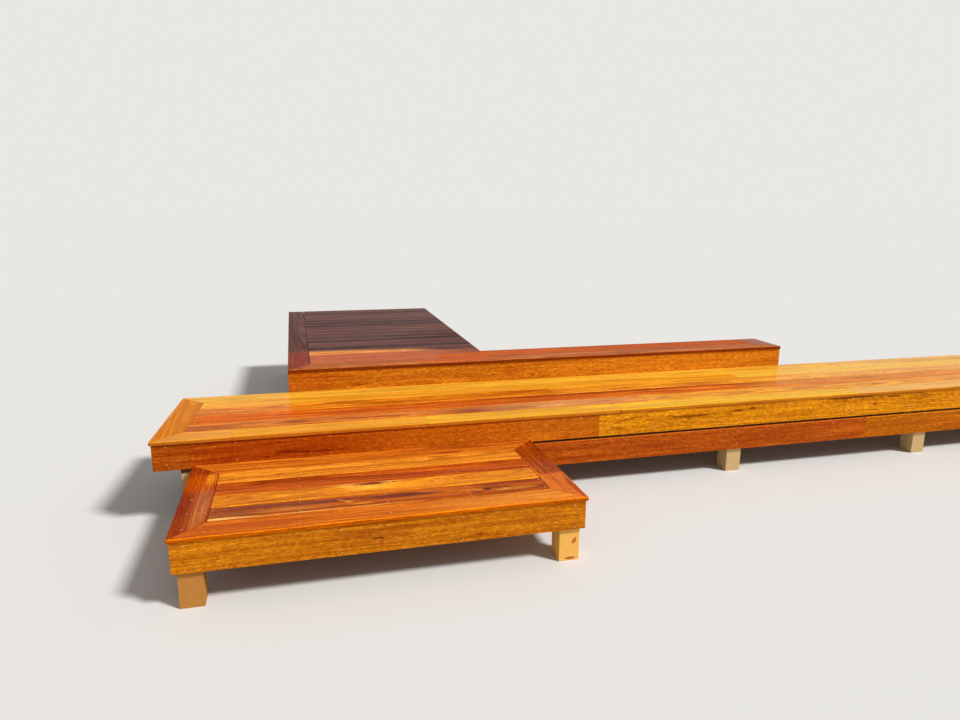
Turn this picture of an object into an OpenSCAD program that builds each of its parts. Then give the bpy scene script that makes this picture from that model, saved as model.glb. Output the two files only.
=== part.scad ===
// Timber deck stairs in three levels: a picture-framed step, a long deck and a landing.
// Built in a site frame with X along the deck, Y towards the landing and Z up from the ground.
// Y = 0 is the face of the landing's fascia, and X = 0 is the deck's back left corner.

/* [Decking] */
// Width of every decking board
board_w = 140; // [110:1:150]
// Thickness of every decking board
board_t = 19; // [17:1:25]
// Gap between neighbouring boards
board_gap = 3; // [2:0.5:6]
// Reach of the decking past the face of the fascias
nosing = 9; // [5:1:18]
// Joint between two lengths of board that meet end to end
butt_gap = 1; // [0.5:0.5:3]

/* [Levels] */
// Height of the step's surface above the ground
step_height = 324; // [300:1:380]
// Rise from the step to the deck
deck_rise = 141; // [130:1:160]
// Rise from the deck to the landing
landing_rise = 148; // [135:1:160]

/* [Fascias] */
// Thickness of the fascia boards
fascia_t = 19; // [17:1:25]
// Height of the step's fascia boards
step_fascia_h = 140; // [110:1:150]
// Height of the deck's lower fascia boards
lower_fascia_h = 140; // [110:1:150]
// Gap between the deck's upper and lower fascia boards
fascia_gap = 16; // [8:1:25]
// Reach of the deck's upper fascia below the step's surface
step_lap = 18; // [10:1:19]
// Reach of the landing's fascia below the deck's surface
deck_lap = 11; // [5:1:17]

/* [Step] */
// Distance from the deck's back left corner to the step's left edge
step_x = 149; // [130:1:400]
// Length of the step over its nosings
step_len = 1823; // [1500:1:2100]

/* [Deck] */
// Length of the deck along its back edge
deck_len = 6460; // [6000:1:7000]
// How far the deck's front left corner stands left of its back left corner
deck_skew = 51; // [0:1:90]
// End of the first length of the deck's front board
front_joint_1 = 347; // [250:1:600]
// End of the second length of the deck's front board
front_joint_2 = 1373; // [1000:1:1800]
// End of the third length of the deck's front board
front_joint_3 = 2539; // [2200:1:3000]
// End of the fourth length of the deck's front board
front_joint_4 = 4244; // [3800:1:4800]
// Joint in the deck's upper fascia
upper_joint = 2403; // [2000:1:3200]
// Joint in the deck's lower fascia
lower_joint = 4330; // [3600:1:5000]
// Joint in the deck's first inner row, counted from the landing
row_joint_1 = 3726; // [3300:1:4300]
// Joint in the deck's second inner row
row_joint_2 = 2286; // [1900:1:2700]
// Joint in the deck's third inner row
row_joint_3 = 1845; // [1500:1:2700]
// Joint in the deck's fourth inner row
row_joint_4 = 2790; // [2300:1:3300]
// Joint in the deck's back board
back_joint = 4686; // [4400:1:5200]

/* [Landing] */
// Distance from the deck's back left corner to the landing's left edge
landing_x = 632; // [500:1:800]
// Length of the landing's front
landing_len = 3640; // [3300:1:3900]
// Width of the landing's deep part, which starts at its left edge
landing_deep_w = 1349; // [1100:1:1500]
// Rows of boards behind the landing's front board
landing_rows = 17; // [12:1:20]
// Depth of the landing's shallow part over its nosing
landing_shallow = 329; // [300:1:420]

/* [Frame timbers] */
// Width of joists, rims and bearers
joist_w = 45; // [35:1:50]
// Depth of the joists, and of the step's and landing's rims
joist_h = 90; // [75:1:110]
// Depth of the deck's rims
deck_rim_h = 140; // [110:1:140]
// Depth of the two bearers under the deck's joists
deck_bearer_h = 140; // [120:1:190]
// Distance between the deck's joists
joist_spacing = 480; // [380:1:520]
// Centre of the deck's first square joist
first_joist = 366; // [330:1:450]
// Inner joists of the step between its trimmers
step_joists_n = 3; // [2:1:5]
// Inner joists of the landing's deep part between its trimmer and its side joist
deep_joists_n = 2; // [1:1:4]
// Inner joists of the landing's shallow part
shallow_joists_n = 4; // [3:1:6]
// Depth of the bearer under the landing's deep part
bearer_h = 90; // [75:1:120]
// Distance from the face of the landing's fascia to the middle of the bearer
bearer_y = 1300; // [1100:1:1400]

/* [Posts] */
// Side of the square posts
post_w = 100; // [90:1:115]
// Centre of the deck's first post
post_x_1 = 137; // [120:1:200]
// Centre of the deck's second post
post_x_2 = 1745; // [1600:1:1900]
// Centre of the deck's third post
post_x_3 = 3352; // [3200:1:3500]
// Centre of the deck's fourth post
post_x_4 = 4808; // [4600:1:5100]
// Centre of the stub that carries the lower fascia in the first bay
stub_x_1 = 941; // [800:1:1100]
// Centre of the stub in the second bay
stub_x_2 = 2585; // [2300:1:2900]
// Centre of the stub in the third bay
stub_x_3 = 4064; // [3800:1:4300]
// Centre of the stub in the fourth bay
stub_x_4 = 5595; // [5350:1:5900]

/* [Hidden] */
hardwood = "sienna";
honey_wood = "peru";
pine = "burlywood";

// Rows of boards inside the frames of the step and the deck, each row a node
inner_rows = 4;

// Levels above the ground
deck_height = step_height + deck_rise;
landing_height = deck_height + landing_rise;
step_under = step_height - board_t;
deck_under = deck_height - board_t;
landing_under = landing_height - board_t;
upper_fascia_h = deck_rise - board_t + step_lap;
landing_fascia_h = landing_rise - board_t + deck_lap;
lower_fascia_top = deck_under - upper_fascia_h - fascia_gap;

// Depths, each counted in rows of boards and gaps
pitch = board_w + board_gap;
deck_depth = (inner_rows + 2) * pitch - board_gap;
step_depth = (inner_rows + 2) * pitch - board_gap;
landing_depth = (landing_rows + 1) * pitch - board_gap;

// Lines across the site
deck_front = -deck_depth;
deck_face = deck_front + nosing;
deck_inner = deck_face + fascia_t;
step_front = deck_face - step_depth;
step_inner = step_front + nosing + fascia_t;
landing_front = -nosing;
landing_back = landing_front + landing_depth;
shallow_back = landing_front + landing_shallow;
shallow_inner = shallow_back - joist_w;
first_row_y = landing_front + pitch;

// Lines along the site
step_right = step_x + step_len;
step_in_left = step_x + nosing + fascia_t;
step_in_right = step_right - nosing - fascia_t;
deck_in_right = deck_len - nosing - fascia_t;
landing_right = landing_x + landing_len;
deep_right = landing_x + landing_deep_w;
shallow_post_x = (deep_right + landing_right - post_w) / 2;
landing_back_post_y = landing_back - post_w;
skew_stretch = sqrt(1 + pow(deck_skew / deck_depth, 2));

// Middle of the whole, which becomes the origin
mid_x = (deck_len - deck_skew) / 2;
mid_y = (landing_back + step_front) / 2;

// X of a line parallel to the deck's left edge, at depth y and inset by d from that edge
function left_x(y, d) = deck_skew * y / deck_depth + d * skew_stretch;

// Corners of a rectangle, anticlockwise from its low corner
function rect(x0, x1, y0, y1) = [[x0, y0], [x1, y0], [x1, y1], [x0, y1]];

// Corners of a strip that starts on a line parallel to the deck's left edge
function from_left(d, x1, y0, y1) = [[left_x(y0, d), y0], [x1, y0], [x1, y1], [left_x(y1, d), y1]];

// Corners of a strip that runs along the deck's left edge, from inset d0 to inset d1
function along_left(d0, d1, y0, y1) =
    [[left_x(y0, d0), y0], [left_x(y0, d1), y0], [left_x(y1, d1), y1], [left_x(y1, d0), y1]];

// Mitred board along one side of a picture frame: 0 left, 1 front, 2 right, 3 back
function frame_side(outer, inner, side) =
    [outer[side], outer[(side + 1) % 4], inner[(side + 1) % 4], inner[side]];

step_outer = [
    [step_x, deck_face], [step_x, step_front],
    [step_right, step_front], [step_right, deck_face]];
step_inner_corners = [
    [step_x + board_w, deck_face - board_w],
    [step_x + board_w, step_front + board_w],
    [step_right - board_w, step_front + board_w],
    [step_right - board_w, deck_face - board_w]];
deck_outer = [[0, 0], [-deck_skew, deck_front], [deck_len, deck_front], [deck_len, 0]];
deck_inner_corners = [
    [left_x(-board_w, board_w), -board_w],
    [left_x(deck_front + board_w, board_w), deck_front + board_w],
    [deck_len - board_w, deck_front + board_w],
    [deck_len - board_w, -board_w]];

// A flat piece of timber with the given outline, its top face at height top
module slab(outline, top, thickness) {
    translate([-mid_x, -mid_y, top - thickness]) linear_extrude(thickness) polygon(outline);
}

module decking(outline, top) {
    slab(outline, top, board_t);
}

// Cuts its children into lengths that meet end to end at each x
module in_lengths(joints) {
    difference() {
        children();
        for (x = joints)
            translate([x - butt_gap / 2 - mid_x, step_front - mid_y, 0])
                cube([butt_gap, landing_back - step_front, landing_height + board_t]);
    }
}

// A joist with its middle line at x, from y = low to y = high
module joist(x, low, high, top) {
    slab(rect(x - joist_w / 2, x + joist_w / 2, low, high), top, joist_h);
}

// A square post from the ground up to height top, with its low corner at x, y
module post(x, y, top) {
    color(pine) slab(rect(x, x + post_w, y, y + post_w), top, top);
}

// Step
module step_frame(side) {
    color(hardwood) decking(frame_side(step_outer, step_inner_corners, side), step_height);
}

module step_board(row) {
    back = deck_face - row * pitch;
    end = board_w + board_gap;
    color(honey_wood) decking(rect(step_x + end, step_right - end, back - board_w, back), step_height);
}

module step_fascia_front() {
    front = step_front + nosing;
    color(honey_wood)
        slab(rect(step_x + nosing, step_right - nosing, front, step_inner), step_under, step_fascia_h);
}

// outer is the x of the fascia's outer face, and inner that of its inner face
module step_fascia_side(outer, inner) {
    color(hardwood) slab(rect(outer, inner, step_inner, deck_face), step_under, step_fascia_h);
}

module step_rims() {
    color(pine)
        for (y = [step_inner, deck_face - joist_w])
            slab(rect(step_in_left, step_in_right, y, y + joist_w), step_under, joist_h);
}

module step_joists() {
    low = step_inner + joist_w;
    high = deck_face - joist_w;
    first = step_x + board_w;
    last = step_right - board_w;
    gap = (last - first) / (step_joists_n + 1);
    color(pine) {
        slab(rect(step_in_left, step_in_left + joist_w, low, high), step_under, joist_h);
        slab(rect(step_in_right - joist_w, step_in_right, low, high), step_under, joist_h);
        for (k = [0 : step_joists_n + 1])
            joist(first + k * gap, low, high, step_under);
    }
}

module step_posts() {
    for (x = [step_in_left, step_in_right - post_w], y = [step_inner, deck_face - post_w])
        post(x, y, step_under - joist_h);
}

// Deck
module deck_frame(side, joints) {
    color(honey_wood)
        in_lengths(joints) decking(frame_side(deck_outer, deck_inner_corners, side), deck_height);
}

module deck_board(row, joint) {
    back = -row * pitch;
    end = board_w + board_gap;
    color(hardwood)
        in_lengths([joint]) decking(from_left(end, deck_len - end, back - board_w, back), deck_height);
}

module deck_fascia_upper() {
    color(hardwood) in_lengths([upper_joint])
        slab(from_left(nosing, deck_len - nosing, deck_face, deck_inner), deck_under, upper_fascia_h);
}

module deck_fascia_lower() {
    outline = rect(step_x + nosing, deck_len - nosing, deck_face, deck_inner);
    color(hardwood) in_lengths([lower_joint]) slab(outline, lower_fascia_top, lower_fascia_h);
}

module deck_fascia_left() {
    color(hardwood)
        slab(along_left(nosing, nosing + fascia_t, deck_inner, 0), deck_under, upper_fascia_h);
}

module deck_fascia_right() {
    end = rect(deck_in_right, deck_len - nosing, deck_inner, 0);
    color(hardwood) {
        slab(end, deck_under, upper_fascia_h);
        slab(end, lower_fascia_top, lower_fascia_h);
    }
}

// A rim along the deck, its front face at y
module deck_rim(y) {
    color(pine) slab(from_left(nosing + fascia_t, deck_in_right, y, y + joist_w), deck_under, deck_rim_h);
}

module deck_joists() {
    low = deck_inner + joist_w;
    high = -joist_w;
    end = nosing + fascia_t;
    trimmer = deck_len - board_w;
    color(pine) {
        slab(along_left(end, end + joist_w, low, high), deck_under, joist_h);
        slab(along_left(board_w - joist_w / 2, board_w + joist_w / 2, low, high), deck_under, joist_h);
        for (x = [first_joist : joist_spacing : trimmer - 2 * joist_w])
            joist(x, low, high, deck_under);
        joist(trimmer, low, high, deck_under);
        slab(rect(deck_in_right - joist_w, deck_in_right, low, high), deck_under, joist_h);
    }
}

// Bearers under the joists, on the inner faces of the posts
module deck_bearers() {
    first = post_x_1 - post_w / 2;
    color(pine)
        for (y = [deck_inner + post_w, -post_w - joist_w])
            slab(rect(first, deck_in_right, y, y + joist_w), deck_under - joist_h, deck_bearer_h);
}

// Short uprights under the front rim, which carry the lower fascia between the posts
module deck_stubs() {
    rim_under = deck_under - deck_rim_h;
    stub_h = rim_under - lower_fascia_top + lower_fascia_h;
    half = joist_w / 2;
    color(pine)
        for (x = [stub_x_1, stub_x_2, stub_x_3, stub_x_4])
            slab(rect(x - half, x + half, deck_inner, deck_inner + joist_w), rim_under, stub_h);
}

// A row of posts along the deck, their front faces at y
module deck_posts(y) {
    for (x = [post_x_1, post_x_2, post_x_3, post_x_4, deck_in_right - post_w / 2])
        post(x - post_w / 2, y, deck_under - deck_rim_h);
}

// Landing
module landing_frame_front() {
    edge = landing_front + board_w;
    color(hardwood) decking([
        [landing_x, landing_front], [landing_right, landing_front],
        [landing_right - board_w, edge], [landing_x + board_w, edge]], landing_height);
}

module landing_frame_left() {
    color(hardwood) decking([
        [landing_x, landing_front], [landing_x + board_w, landing_front + board_w],
        [landing_x + board_w, landing_back], [landing_x, landing_back]], landing_height);
}

module landing_frame_right() {
    color(hardwood) decking([
        [landing_right, landing_front], [landing_right, shallow_back],
        [landing_right - board_w, shallow_back], [landing_right - board_w, landing_front + board_w]],
        landing_height);
}

// Rows that reach into the shallow part run on along it, and one that it cuts starts anew there
module landing_boards() {
    start = landing_x + board_w + board_gap;
    end = landing_right - board_w - board_gap;
    color(hardwood)
        translate([-mid_x, -mid_y, landing_under]) linear_extrude(board_t)
            for (k = [0 : landing_rows - 1]) {
                low = first_row_y + k * pitch;
                high = low + board_w;
                polygon(rect(start, high < shallow_back ? end : deep_right, low, high));
                if (low < shallow_back && high >= shallow_back)
                    polygon(rect(deep_right + butt_gap, end, low, shallow_back));
            }
}

module landing_fascia() {
    color(honey_wood)
        slab(rect(landing_x, landing_right, 0, fascia_t), landing_under, landing_fascia_h);
}

module landing_rims() {
    color(pine) {
        slab(rect(landing_x, landing_right, fascia_t, fascia_t + joist_w), landing_under, joist_h);
        slab(rect(deep_right, landing_right, shallow_inner, shallow_back), landing_under, joist_h);
    }
}

module landing_rim_back() {
    color(pine)
        slab(rect(landing_x, deep_right, landing_back - joist_w, landing_back), landing_under, joist_h);
}

module landing_bearer() {
    color(pine)
        slab(rect(landing_x, deep_right, bearer_y - joist_w / 2, bearer_y + joist_w / 2),
            landing_under - joist_h, bearer_h);
}

// n joists between two centre lines, and one on the first line if with_first is 1
module landing_joist_row(first, last, n, with_first, low, high) {
    gap = (last - first) / (n + 1);
    for (k = [1 - with_first : n])
        joist(first + k * gap, low, high, landing_under);
}

module landing_joists() {
    low = fascia_t + joist_w;
    deep_high = landing_back - joist_w;
    trimmer = landing_right - board_w;
    color(pine) {
        slab(rect(landing_x, landing_x + joist_w, low, deep_high), landing_under, joist_h);
        landing_joist_row(landing_x + board_w, deep_right - joist_w / 2, deep_joists_n, 1, low, deep_high);
        slab(rect(deep_right - joist_w, deep_right, low, deep_high), landing_under, joist_h);
        landing_joist_row(deep_right, trimmer, shallow_joists_n, 0, low, shallow_inner);
        joist(trimmer, low, shallow_inner, landing_under);
        slab(rect(landing_right - joist_w, landing_right, low, shallow_inner), landing_under, joist_h);
    }
}

// A row of posts under the landing's frame, their front faces at y
module landing_posts(places, y) {
    for (x = places)
        post(x, y, landing_under - joist_h);
}

module landing_posts_bearer() {
    for (x = [landing_x, deep_right - post_w])
        post(x, bearer_y - post_w / 2, landing_under - joist_h - bearer_h);
}

step_frame(0);  // step_frame_left
step_frame(1);  // step_frame_front
step_frame(2);  // step_frame_right
step_frame(3);  // step_frame_back
step_board(1);  // step_board_1
step_board(2);  // step_board_2
step_board(3);  // step_board_3
step_board(4);  // step_board_4
step_fascia_front();
step_fascia_side(step_x + nosing, step_in_left);  // step_fascia_left
step_fascia_side(step_in_right, step_right - nosing);  // step_fascia_right
step_rims();
step_joists();
step_posts();

deck_frame(0, []);  // deck_frame_left
deck_frame(1, [front_joint_1, front_joint_2, front_joint_3, front_joint_4]);  // deck_frame_front
deck_frame(2, []);  // deck_frame_right
deck_frame(3, [back_joint]);  // deck_frame_back
deck_board(1, row_joint_1);  // deck_board_1
deck_board(2, row_joint_2);  // deck_board_2
deck_board(3, row_joint_3);  // deck_board_3
deck_board(4, row_joint_4);  // deck_board_4
deck_fascia_upper();
deck_fascia_lower();
deck_fascia_left();
deck_fascia_right();
deck_rim(deck_inner);  // deck_rim_front
deck_rim(-joist_w);  // deck_rim_back
deck_joists();
deck_bearers();
deck_stubs();
deck_posts(deck_inner);  // deck_posts_front
deck_posts(-post_w);  // deck_posts_back

landing_frame_front();
landing_frame_left();
landing_frame_right();
landing_boards();
landing_fascia();
landing_rims();
landing_rim_back();
landing_bearer();
landing_joists();
landing_posts([landing_x, deep_right - post_w, shallow_post_x, landing_right - post_w], fascia_t);  // landing_posts_front
landing_posts([shallow_post_x, landing_right - post_w], shallow_back - post_w);  // landing_posts_middle
landing_posts_bearer();
landing_posts([landing_x, deep_right - post_w], landing_back_post_y);  // landing_posts_back
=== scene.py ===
# Freshly oiled hardwood deck stair on treated pine: finishes, screws, light and camera around the timbers.
import math
import random

import bpy
from mathutils import Matrix, Vector


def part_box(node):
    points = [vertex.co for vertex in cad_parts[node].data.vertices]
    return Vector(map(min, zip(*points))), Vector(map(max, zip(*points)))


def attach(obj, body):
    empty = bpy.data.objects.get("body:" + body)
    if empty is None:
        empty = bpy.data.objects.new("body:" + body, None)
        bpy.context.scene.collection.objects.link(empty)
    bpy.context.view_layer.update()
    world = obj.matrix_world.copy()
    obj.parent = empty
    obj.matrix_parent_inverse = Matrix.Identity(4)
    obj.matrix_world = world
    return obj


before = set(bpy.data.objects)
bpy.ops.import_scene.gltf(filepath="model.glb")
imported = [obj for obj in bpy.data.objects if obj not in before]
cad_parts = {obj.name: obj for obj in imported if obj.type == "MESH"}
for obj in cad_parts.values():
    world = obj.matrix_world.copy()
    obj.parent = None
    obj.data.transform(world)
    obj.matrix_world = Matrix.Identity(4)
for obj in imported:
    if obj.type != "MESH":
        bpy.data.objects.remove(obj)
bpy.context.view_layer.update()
scene = bpy.context.scene
print("frame loaded:", len(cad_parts), "timber pieces")

# Places on the site are metres from the deck's back left corner, the landing's face and the ground
zero = Vector((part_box("deck_frame_back")[0].x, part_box("landing_fascia")[0].y, 0.0))
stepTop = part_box("step_board_1")[1].z
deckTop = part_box("deck_board_1")[1].z
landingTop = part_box("landing_boards")[1].z
boardPitch = 0.143  # a board and the gap beside it
joistPitch = 0.48


def toLinear(hexColour):
    parts = [int(hexColour[i:i + 2], 16) / 255 for i in (1, 3, 5)]
    return [c / 12.92 if c <= 0.04045 else ((c + 0.055) / 1.055) ** 2.4 for c in parts] + [1.0]


# Sockets go by name or number. A Map Range reads from 1 to 2 and gives 3 to 4. A Mix goes from 6 to 7 by 0.
def addNode(tree, kind, inputs=(), stops=(), **settings):
    node = tree.nodes.new("ShaderNode" + kind)
    for name, value in settings.items():
        setattr(node, name, value)
    for key, value in dict(inputs).items():
        if isinstance(value, bpy.types.NodeSocket):
            tree.links.new(value, node.inputs[key])
        else:
            node.inputs[key].default_value = value
    for i, (place, colour) in enumerate(stops):  # plain steps; a new ramp already holds two stops
        node.color_ramp.interpolation = "CONSTANT"
        stop = node.color_ramp.elements[i] if i < 2 else node.color_ramp.elements.new(place)
        stop.position = place
        stop.color = colour
    return node.outputs


def newMaterial(name):
    material = bpy.data.materials.new(name)
    material.use_nodes = True
    material.node_tree.nodes.clear()
    return material, material.node_tree


# Hardwood decking with a fresh coat of oil. The growth rings give long streaks of early and late wood, the
# interlocked grain gives short flecks, and the oil gives deep, warm tones and a wet gloss.
# Each pattern has its width and its length along the grain in millimetres. The other lengths are metres.
hardwoodFigure = dict(
    grain="xyz",              # the board's axes along, across and through the wood
    joints=(),                # places of the butt joints along the board
    rowPitch=0.0,             # distance between rows, where one piece holds many
    seed=0.0,
    apart=9.0,                # how far apart the noise is read for two lengths or rows
    tone="#C8701C",           # one for each length, or for each of five kinds of row
    spread=0.45,              # how much lighter and darker than the tone the streaks are
    band=12.0,                # one streak
    bandLength=900.0,
    bandSoft=0.17,            # how slowly the noise turns a dark streak into a light one
    contrast=1.5,
    patch=0.85,               # how dark the slow drifts along the board are
    patchSize=(800.0, 50.0, 200.0),
    patchRange=(0.42, 0.62),
    patchShare=0.35,
    flow=(1.3, 2.5, 0.0),     # how often the grain turns in a metre along and across the board
    wander=0.072,             # and how far
    pith=(0.03, -0.07),       # place of the pith, across and through, from the board's middle
    pithSpread=0.09,          # how much that place differs between lengths and rows
    line=3.4,                 # fine lines, about twice the real width, so that they show
    lineLength=300.0,
    lineDepth=0.26,
    fleck=3.6,
    fleckLength=18.0,
    fleckDepth=0.20,
    ribbon=14.0,              # ribbon figure: broad soft flecks of interlocked grain
    ribbonLength=50.0,
    ribbonDepth=0.07,
    fibre=1.1,                # drawn coarser than the real 0.3 mm, so that it shows
    fibreLength=45.0,
    fibreDepth=0.12,
    detailRange=(0.3, 0.7),   # nearly all of a noise lies between these
    pore=0.8,                 # the real ones are about 0.2 mm wide, too fine to show
    poreLength=14.0,
    poreDepth=0.25,
    poreRange=(0.60, 0.68),
    streak="#5E1F08",         # dark lines of gum
    streakWidth=7.0,
    streakLength=240.0,
    streakRange=(0.56, 0.68),
    streakShare=0.0,
    edge=0.7,                 # the milled edge and the faces below it are painted darker than the face: painted shade; a colour here replaces the factor
    edgeRange=(0.0020, 0.0034),   # depths below the face
    arris=1.25,               # and its round is painted paler: a painted highlight
    arrisRange=(0.0001, 0.0010),
    face=1,                   # the face looks along plus or minus the last axis of grain
    rowLine=None,             # colour of the light that each row's front edge catches
    rowLineRange=(-0.38, -0.46),  # shares of the pitch
    rowLineShare=0.7,
    marks=(),
    frayBand=1.6,             # how far a mark's outline follows the streaks and the flecks
    frayFleck=0.6,
    fibreRelief=0.5,
    fleckRelief=0.8,
    relief=0.5,               # in millimetres, before the strength
    reliefStrength=0.3,
    roughness=(0.11, 0.23),
    ior=1.45,
    shine=0.02,               # how much of the pale room the oil mirrors
)

# A knot, gum streak or patch has its place on the site and its two half widths, along and across the board
plainMark = dict(
    turn=0.0,                 # in radians
    depth=100.0,              # runs right through the board
    square=False,             # ends straight across the board
    row=None,                 # lies on that row's board alone
    share=0.9,                # how much of the wood's own colour it hides
    soft=0.6,                 # how much of its size the blurred outline takes
    fray=1.0,
    swirl=0.0,                # how far the grain is pushed aside round it
    spread=3.0,               # and over how many of its sizes
    lens=0.3,                 # the grain flows round it in a long lens
)

oilPowers = (1.0, 1.5, 1.8)  # a darker streak holds more oil, so its green and blue sink faster than its red
brightest = 0.97


def streakTone(hexColour, factor):
    linear = toLinear(hexColour)
    factor = min(factor, brightest / linear[0])
    return [c * factor ** power for c, power in zip(linear, oilPowers)] + [1.0]


def perMetre(*millimetres):
    return tuple(1000 / size for size in millimetres)


# Where a point lies on its board, and which length or row of boards it is in
def layOut(tree, figure, node):
    low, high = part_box(node)
    middle = (low + high) / 2
    length, width, depth = ["xyz".index(c) for c in figure["grain"]]
    axes = addNode(tree, "SeparateXYZ", {0: addNode(tree, "TexCoord")["Object"]})
    along, across, through = [addNode(tree, "Math", {0: axes[i], 1: middle[i]}, operation="SUBTRACT")[0]
                              for i in (length, width, depth)]
    place = addNode(tree, "CombineXYZ", {0: along, 1: across, 2: through})[0]
    number = figure["seed"]  # counts the lengths and rows, each with a figure of its own
    row = None
    for joint in figure["joints"]:
        beyond = addNode(tree, "Math", {0: axes[length], 1: zero[length] + joint},
                         operation="GREATER_THAN")[0]
        number = addNode(tree, "Math", {0: beyond, 1: number}, operation="ADD")[0]
    if figure["rowPitch"]:
        fromEdge = addNode(tree, "Math", {0: axes[width], 1: low[width]}, operation="SUBTRACT")[0]
        rows = addNode(tree, "Math", {0: fromEdge, 1: figure["rowPitch"]}, operation="DIVIDE")[0]
        row = addNode(tree, "Math", {0: rows}, operation="FLOOR")[0]
        number = addNode(tree, "Math", {0: row, 1: number}, operation="ADD")[0]
        across = addNode(tree, "Math", {0: fromEdge, 1: figure["rowPitch"]}, operation="MODULO")[0]
        across = addNode(tree, "Math", {0: across, 1: figure["rowPitch"] / 2}, operation="SUBTRACT")[0]
    chance = addNode(tree, "TexWhiteNoise", {"W": number}, noise_dimensions="1D")
    shift = addNode(tree, "VectorMath", {0: chance["Color"], "Scale": figure["apart"]}, operation="SCALE")[0]
    field = addNode(tree, "CombineXYZ", {0: along, 1: across, 2: through})[0]
    field = addNode(tree, "VectorMath", {0: field, 1: shift}, operation="ADD")[0]
    corner = (zero[length] - middle[length], zero[width] - middle[width])
    return dict(corner=corner, half=(high - low)[depth] / 2, place=place, field=field, across=across,
                through=through, row=row, number=number, chance=chance["Value"])


# Each mark gets its spot, in its own sizes from its middle, and its reach, which is 1 at its outline
def findMarks(tree, figure, board):
    marks = []
    for look in figure["marks"]:
        mark = dict(plainMark, **look)
        at = [spot + corner for spot, corner in zip(mark["at"], board["corner"])]
        spot = addNode(tree, "Mapping", {"Vector": board["place"], "Location": (*at, 0.0),
                                         "Rotation": (0.0, 0.0, mark["turn"]),
                                         "Scale": (*mark["size"], mark["depth"])}, vector_type="TEXTURE")[0]
        mark["spot"] = spot
        if mark["square"]:
            sides = addNode(tree, "VectorMath", {0: spot}, operation="ABSOLUTE")[0]
            sides = addNode(tree, "SeparateXYZ", {0: sides})
            mark["reach"] = addNode(tree, "Math", {0: sides[0], 1: sides[1]}, operation="MAXIMUM")[0]
        else:
            mark["reach"] = addNode(tree, "VectorMath", {0: spot}, operation="LENGTH")["Value"]
        marks.append(mark)
    return marks


# Growth rings round a pith beside the board, which drifts along it. The rings bend round each knot.
# A noise has its middle at 0.5.
def growRings(tree, figure, board, marks):
    drift = addNode(tree, "VectorMath", {0: board["field"], 1: figure["flow"]}, operation="MULTIPLY")[0]
    drift = addNode(tree, "TexNoise", {"Vector": drift, "Scale": 1.0, "Detail": 3.0})["Color"]
    drift = addNode(tree, "VectorMath", {0: drift, 1: (0.5, 0.5, 0.5)}, operation="SUBTRACT")[0]
    drift = addNode(tree, "VectorMath", {0: drift, "Scale": figure["wander"]}, operation="SCALE")[0]
    drift = addNode(tree, "SeparateXYZ", {0: drift})
    pithAcross, pithThrough = figure["pith"]
    pith = addNode(tree, "MapRange", {0: board["chance"], 3: pithAcross - figure["pithSpread"],
                                      4: pithAcross + figure["pithSpread"]})[0]
    sideways = addNode(tree, "Math", {0: board["across"], 1: drift[0]}, operation="ADD")[0]
    sideways = addNode(tree, "Math", {0: sideways, 1: pith}, operation="SUBTRACT")[0]
    down = addNode(tree, "Math", {0: board["through"], 1: pithThrough}, operation="SUBTRACT")[0]
    down = addNode(tree, "Math", {0: down, 1: drift[1]}, operation="ADD")[0]
    radius = addNode(tree, "CombineXYZ", {1: sideways, 2: down})[0]
    radius = addNode(tree, "VectorMath", {0: radius}, operation="LENGTH")["Value"]
    for mark in marks:
        if mark["swirl"]:
            near = addNode(tree, "VectorMath", {0: mark["spot"], 1: (mark["lens"], 1.0, 1.0)},
                           operation="MULTIPLY")[0]
            near = addNode(tree, "VectorMath", {0: near}, operation="LENGTH")["Value"]
            bend = addNode(tree, "MapRange", {0: near, 1: mark["spread"], 2: 0.0, 3: 0.0, 4: mark["swirl"]},
                           interpolation_type="SMOOTHSTEP")[0]
            radius = addNode(tree, "Math", {0: radius, 1: bend}, operation="ADD")[0]
    along = addNode(tree, "SeparateXYZ", {0: board["field"]})[0]
    return addNode(tree, "CombineXYZ", {0: along, 1: radius, 2: board["chance"]})[0]


# Streaks and lines follow the rings; flecks, ribbons, fibres and pores are stretched along the board
def readGrain(tree, figure, board, rings):
    grain = {}
    for kind, detail in dict(band=5.0, line=2.0, fleck=2.0, ribbon=2.0, fibre=2.0, pore=2.0).items():
        onRings = kind in ("band", "line")
        along, across = perMetre(figure[kind + "Length"], figure[kind])
        scale = (along, across, figure["apart"] if onRings else across)
        spot = addNode(tree, "VectorMath", {0: rings if onRings else board["field"], 1: scale},
                       operation="MULTIPLY")[0]
        grain[kind] = addNode(tree, "TexNoise", {"Vector": spot, "Scale": 1.0, "Detail": detail,
                                                 "Distortion": 0.2})[0]
    return grain


# A colour that is the same all over, or a ramp of plain steps with one for each length or kind of row
def shadeTones(tree, figure, board):
    factors = dict(light=1 + figure["spread"], dark=1 / (1 + figure["spread"]), patch=figure["patch"],
                   edge=figure["edge"], arris=figure["arris"])
    pick = board["chance"]
    if figure["joints"]:  # the middle of each length's own step
        pick = addNode(tree, "Math", {0: board["number"], 1: 0.5 - figure["seed"]}, operation="ADD")[0]
        pick = addNode(tree, "Math", {0: pick, 1: len(figure["joints"]) + 1}, operation="DIVIDE")[0]
    tones = {}
    for tone, factor in factors.items():
        if isinstance(factor, str):
            tones[tone] = toLinear(factor)
        elif isinstance(figure["tone"], str):
            tones[tone] = streakTone(figure["tone"], factor)
        else:
            stops = [(i / len(figure["tone"]), streakTone(c, factor)) for i, c in enumerate(figure["tone"])]
            tones[tone] = addNode(tree, "ValToRGB", {0: pick}, stops=stops)[0]
    return tones


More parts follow.
